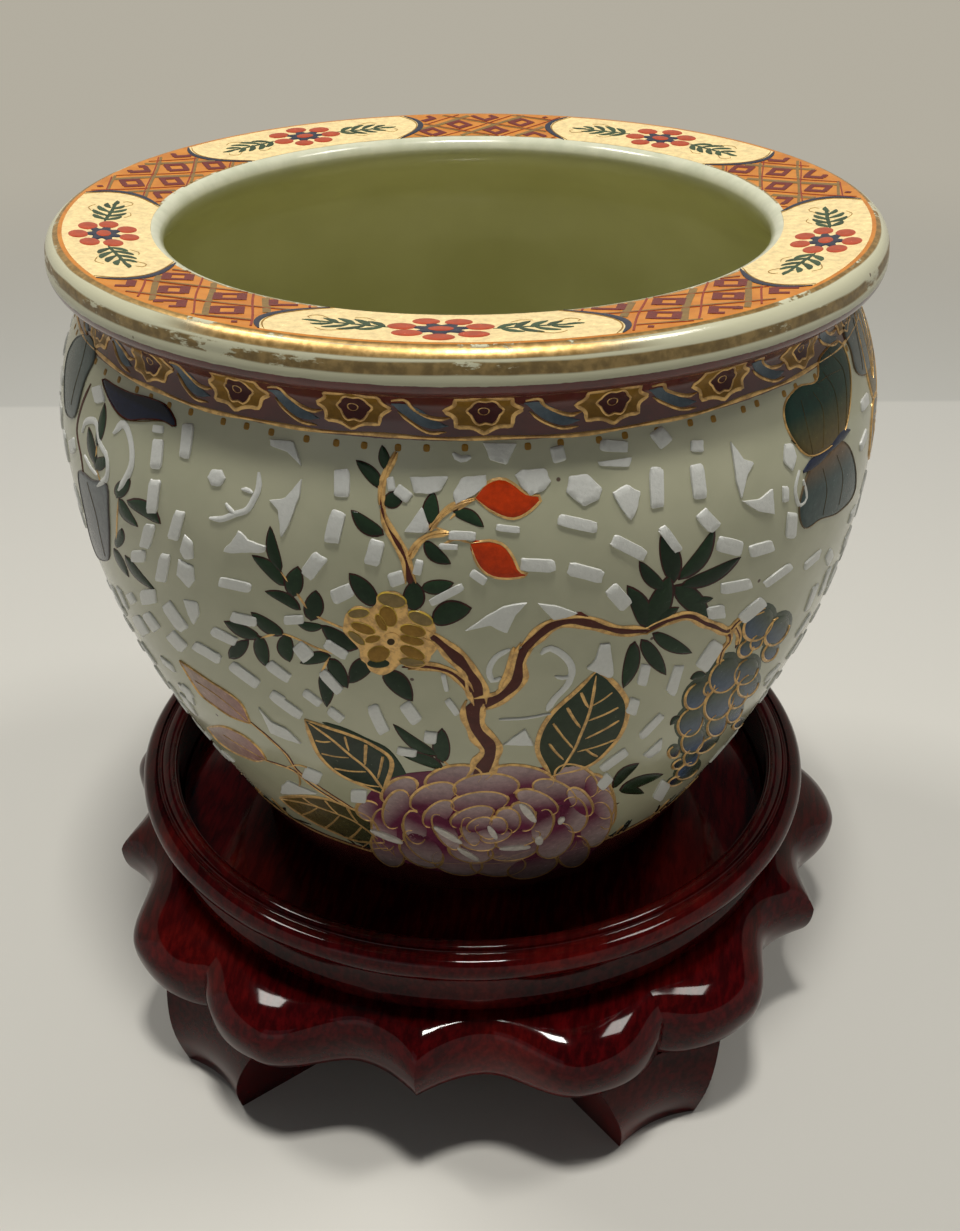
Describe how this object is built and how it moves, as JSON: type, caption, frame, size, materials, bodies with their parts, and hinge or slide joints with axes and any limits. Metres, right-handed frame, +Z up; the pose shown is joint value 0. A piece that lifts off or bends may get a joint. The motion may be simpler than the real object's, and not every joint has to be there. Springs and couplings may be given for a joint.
{
  "type": "jardiniere on stand",
  "caption": "Round glazed ceramic planter with a flat flanged rim and full belly, standing in the dished tray of a low carved wooden stand with bracket feet.",
  "frame": {"origin": "on the common axis of the pot and the stand, at the level of the undersides of the feet", "axes": "+Z up along the axis; one pointed apron tip faces the front along -Y"},
  "size_m": [0.281, 0.2754, 0.285],
  "materials": {
    "pot_glaze": "gloss",
    "rosewood_lacquer": "gloss lacquer",
    "bare_wood": "bare"
  },
  "bodies": {
    "stand": {"tray_rim": "rosewood_lacquer", "tray_floor": "rosewood_lacquer", "waist_ring": "rosewood_lacquer", "apron_segment_1": "rosewood_lacquer", "apron_segment_2": "rosewood_lacquer", "apron_segment_3": "rosewood_lacquer", "apron_segment_4": "rosewood_lacquer", "apron_segment_5": "rosewood_lacquer", "foot_1": "rosewood_lacquer", "foot_2": "rosewood_lacquer", "foot_3": "rosewood_lacquer", "foot_4": "rosewood_lacquer", "foot_5": "rosewood_lacquer", "apron_splines": "bare_wood", "foot_dowels": "bare_wood", "waist_pegs": "bare_wood"},
    "pot": {"jardiniere_pot": "pot_glaze"}
  },
  "joints": [
    {"name": "pot_lift", "type": "slide", "parent": "stand", "child": "pot", "axis": [0, 0, 1], "range_m": [0, 0.12]}
  ]
}
